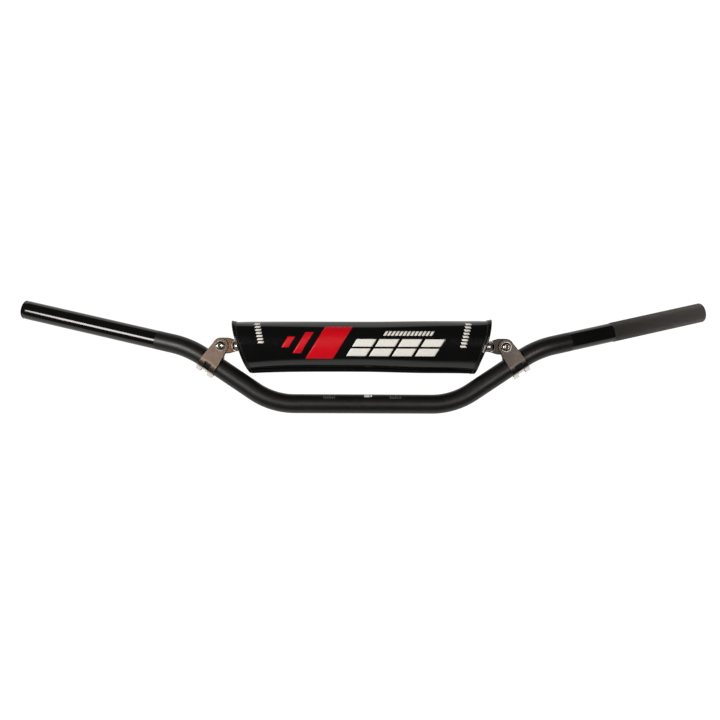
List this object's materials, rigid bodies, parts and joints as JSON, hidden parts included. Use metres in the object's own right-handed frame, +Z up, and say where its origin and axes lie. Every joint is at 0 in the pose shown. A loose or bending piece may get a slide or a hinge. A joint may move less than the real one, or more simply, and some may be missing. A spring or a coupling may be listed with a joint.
{
  "type": "handlebar",
  "caption": "Bent motocross handlebar with a clamped crossbar and a foam pad in a vinyl cover that turns on it and opens along the back.",
  "frame": {"origin": "on the tube's axis, in the middle of the length that the fork clamps hold", "axes": "+X towards the knurled clutch end, +Y back towards the rider, +Z up"},
  "size_m": [0.8233, 0.1005, 0.1325],
  "materials": {
    "bar_black": "matte",
    "crossbar_zinc": "satin",
    "clamp_zinc": "satin",
    "fastener_zinc": "satin",
    "nylon": "satin",
    "foam": "matte",
    "vinyl_black": "gloss",
    "binding_black": "satin",
    "hook_and_loop": "matte"
  },
  "bodies": {
    "bar": {"handlebar_tube": "bar_black", "crossbar": "crossbar_zinc", "clutch_clamp_front_plate": "clamp_zinc", "clutch_clamp_rear_plate": "clamp_zinc", "clutch_clamp_screw": "fastener_zinc", "clutch_screw_washer": "fastener_zinc", "clutch_nut_washer": "fastener_zinc", "clutch_lock_nut": "fastener_zinc", "clutch_nut_nylon_ring": "nylon", "throttle_clamp_front_plate": "clamp_zinc", "throttle_clamp_rear_plate": "clamp_zinc", "throttle_clamp_screw": "fastener_zinc", "throttle_screw_washer": "fastener_zinc", "throttle_nut_washer": "fastener_zinc", "throttle_lock_nut": "fastener_zinc", "throttle_nut_nylon_ring": "nylon"},
    "pad": {"pad_foam_core": "foam", "pad_cover": "vinyl_black", "loop_strip": "hook_and_loop", "clutch_pad_end_hem": "binding_black", "throttle_pad_end_hem": "binding_black"},
    "flap": {"closure_flap": "vinyl_black", "hook_strip": "hook_and_loop"}
  },
  "joints": [
    {"name": "pad_turn", "type": "hinge", "parent": "bar", "child": "pad", "pos_m": [0, -0.0092, 0.0668], "axis": [1, 0, 0], "range_deg": [-30, 30]},
    {"name": "flap_open", "type": "hinge", "parent": "pad", "child": "flap", "pos_m": [0, 0.015, 0.0795], "axis": [1, 0, 0], "range_deg": [0, 120]}
  ]
}
